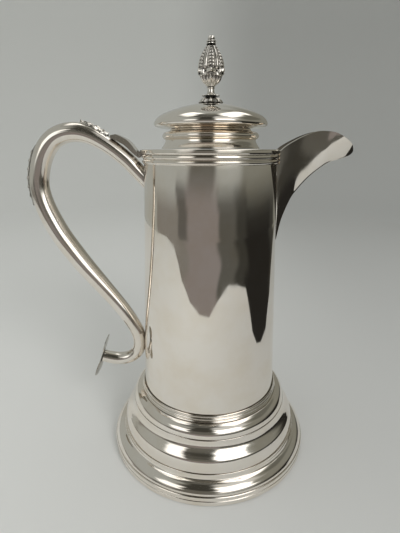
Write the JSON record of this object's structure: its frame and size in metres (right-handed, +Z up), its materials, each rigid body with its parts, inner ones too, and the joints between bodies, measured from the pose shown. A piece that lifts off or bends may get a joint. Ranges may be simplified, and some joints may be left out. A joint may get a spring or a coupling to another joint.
{
  "type": "coffee pot",
  "caption": "Tall silver coffee pot: tapered body on a stepped base, open beak spout, hollow scroll handle with leaves, and a hinged domed lid with a bud finial.",
  "frame": {"origin": "centre of the overall footprint box, on the table; the pot's own axis stands 15.5 mm towards +X", "axes": "+Z up along the pot's axis, +X towards the spout, -X towards the handle, +Y to the side"},
  "size_m": [0.2062, 0.1422, 0.2704],
  "materials": {
    "body_wall": "polished silver",
    "body_floor": "polished silver",
    "rim_moulding": "polished silver",
    "junction_moulding": "polished silver",
    "base_upper_tier": "polished silver",
    "base_middle_tier": "polished silver",
    "base_lower_tier": "polished silver",
    "foot_band": "polished silver",
    "spout": "polished silver",
    "handle_tube": "polished silver",
    "handle_terminal": "polished silver",
    "handle_leaf": "polished silver",
    "handle_back_leaf": "polished silver",
    "hinge_arm": "polished silver",
    "hinge_pin": "satin silver",
    "lid_hinge_leaf": "polished silver",
    "lid_flange": "polished silver",
    "lid_bezel": "polished silver",
    "lid_neck": "polished silver",
    "lid_dome": "polished silver",
    "finial_base": "polished silver",
    "finial_stem": "polished silver",
    "finial_calyx": "polished silver",
    "finial_bud": "polished silver",
    "finial_tip": "polished silver",
    "finial_stud": "satin silver",
    "finial_washer": "satin silver",
    "finial_nut": "satin silver"
  },
  "bodies": {
    "pot": {"body_wall": "body_wall", "body_floor": "body_floor", "rim_moulding": "rim_moulding", "junction_moulding": "junction_moulding", "base_upper_tier": "base_upper_tier", "base_middle_tier": "base_middle_tier", "base_lower_tier": "base_lower_tier", "foot_band": "foot_band", "spout": "spout", "handle_tube": "handle_tube", "handle_terminal": "handle_terminal", "handle_leaf": "handle_leaf", "handle_back_leaf": "handle_back_leaf", "hinge_arm": "hinge_arm", "hinge_pin": "hinge_pin"},
    "lid": {"lid_hinge_leaf": "lid_hinge_leaf", "lid_flange": "lid_flange", "lid_bezel": "lid_bezel", "lid_neck": "lid_neck", "lid_dome": "lid_dome", "finial_base": "finial_base", "finial_stem": "finial_stem", "finial_calyx": "finial_calyx", "finial_bud": "finial_bud", "finial_tip": "finial_tip", "finial_stud": "finial_stud", "finial_washer": "finial_washer", "finial_nut": "finial_nut"}
  },
  "joints": [
    {"name": "lid_hinge", "type": "hinge", "parent": "pot", "child": "lid", "pos_m": [-0.0281, 0, 0.2052], "axis": [0, -1, 0], "range_deg": [0, 70]}
  ]
}
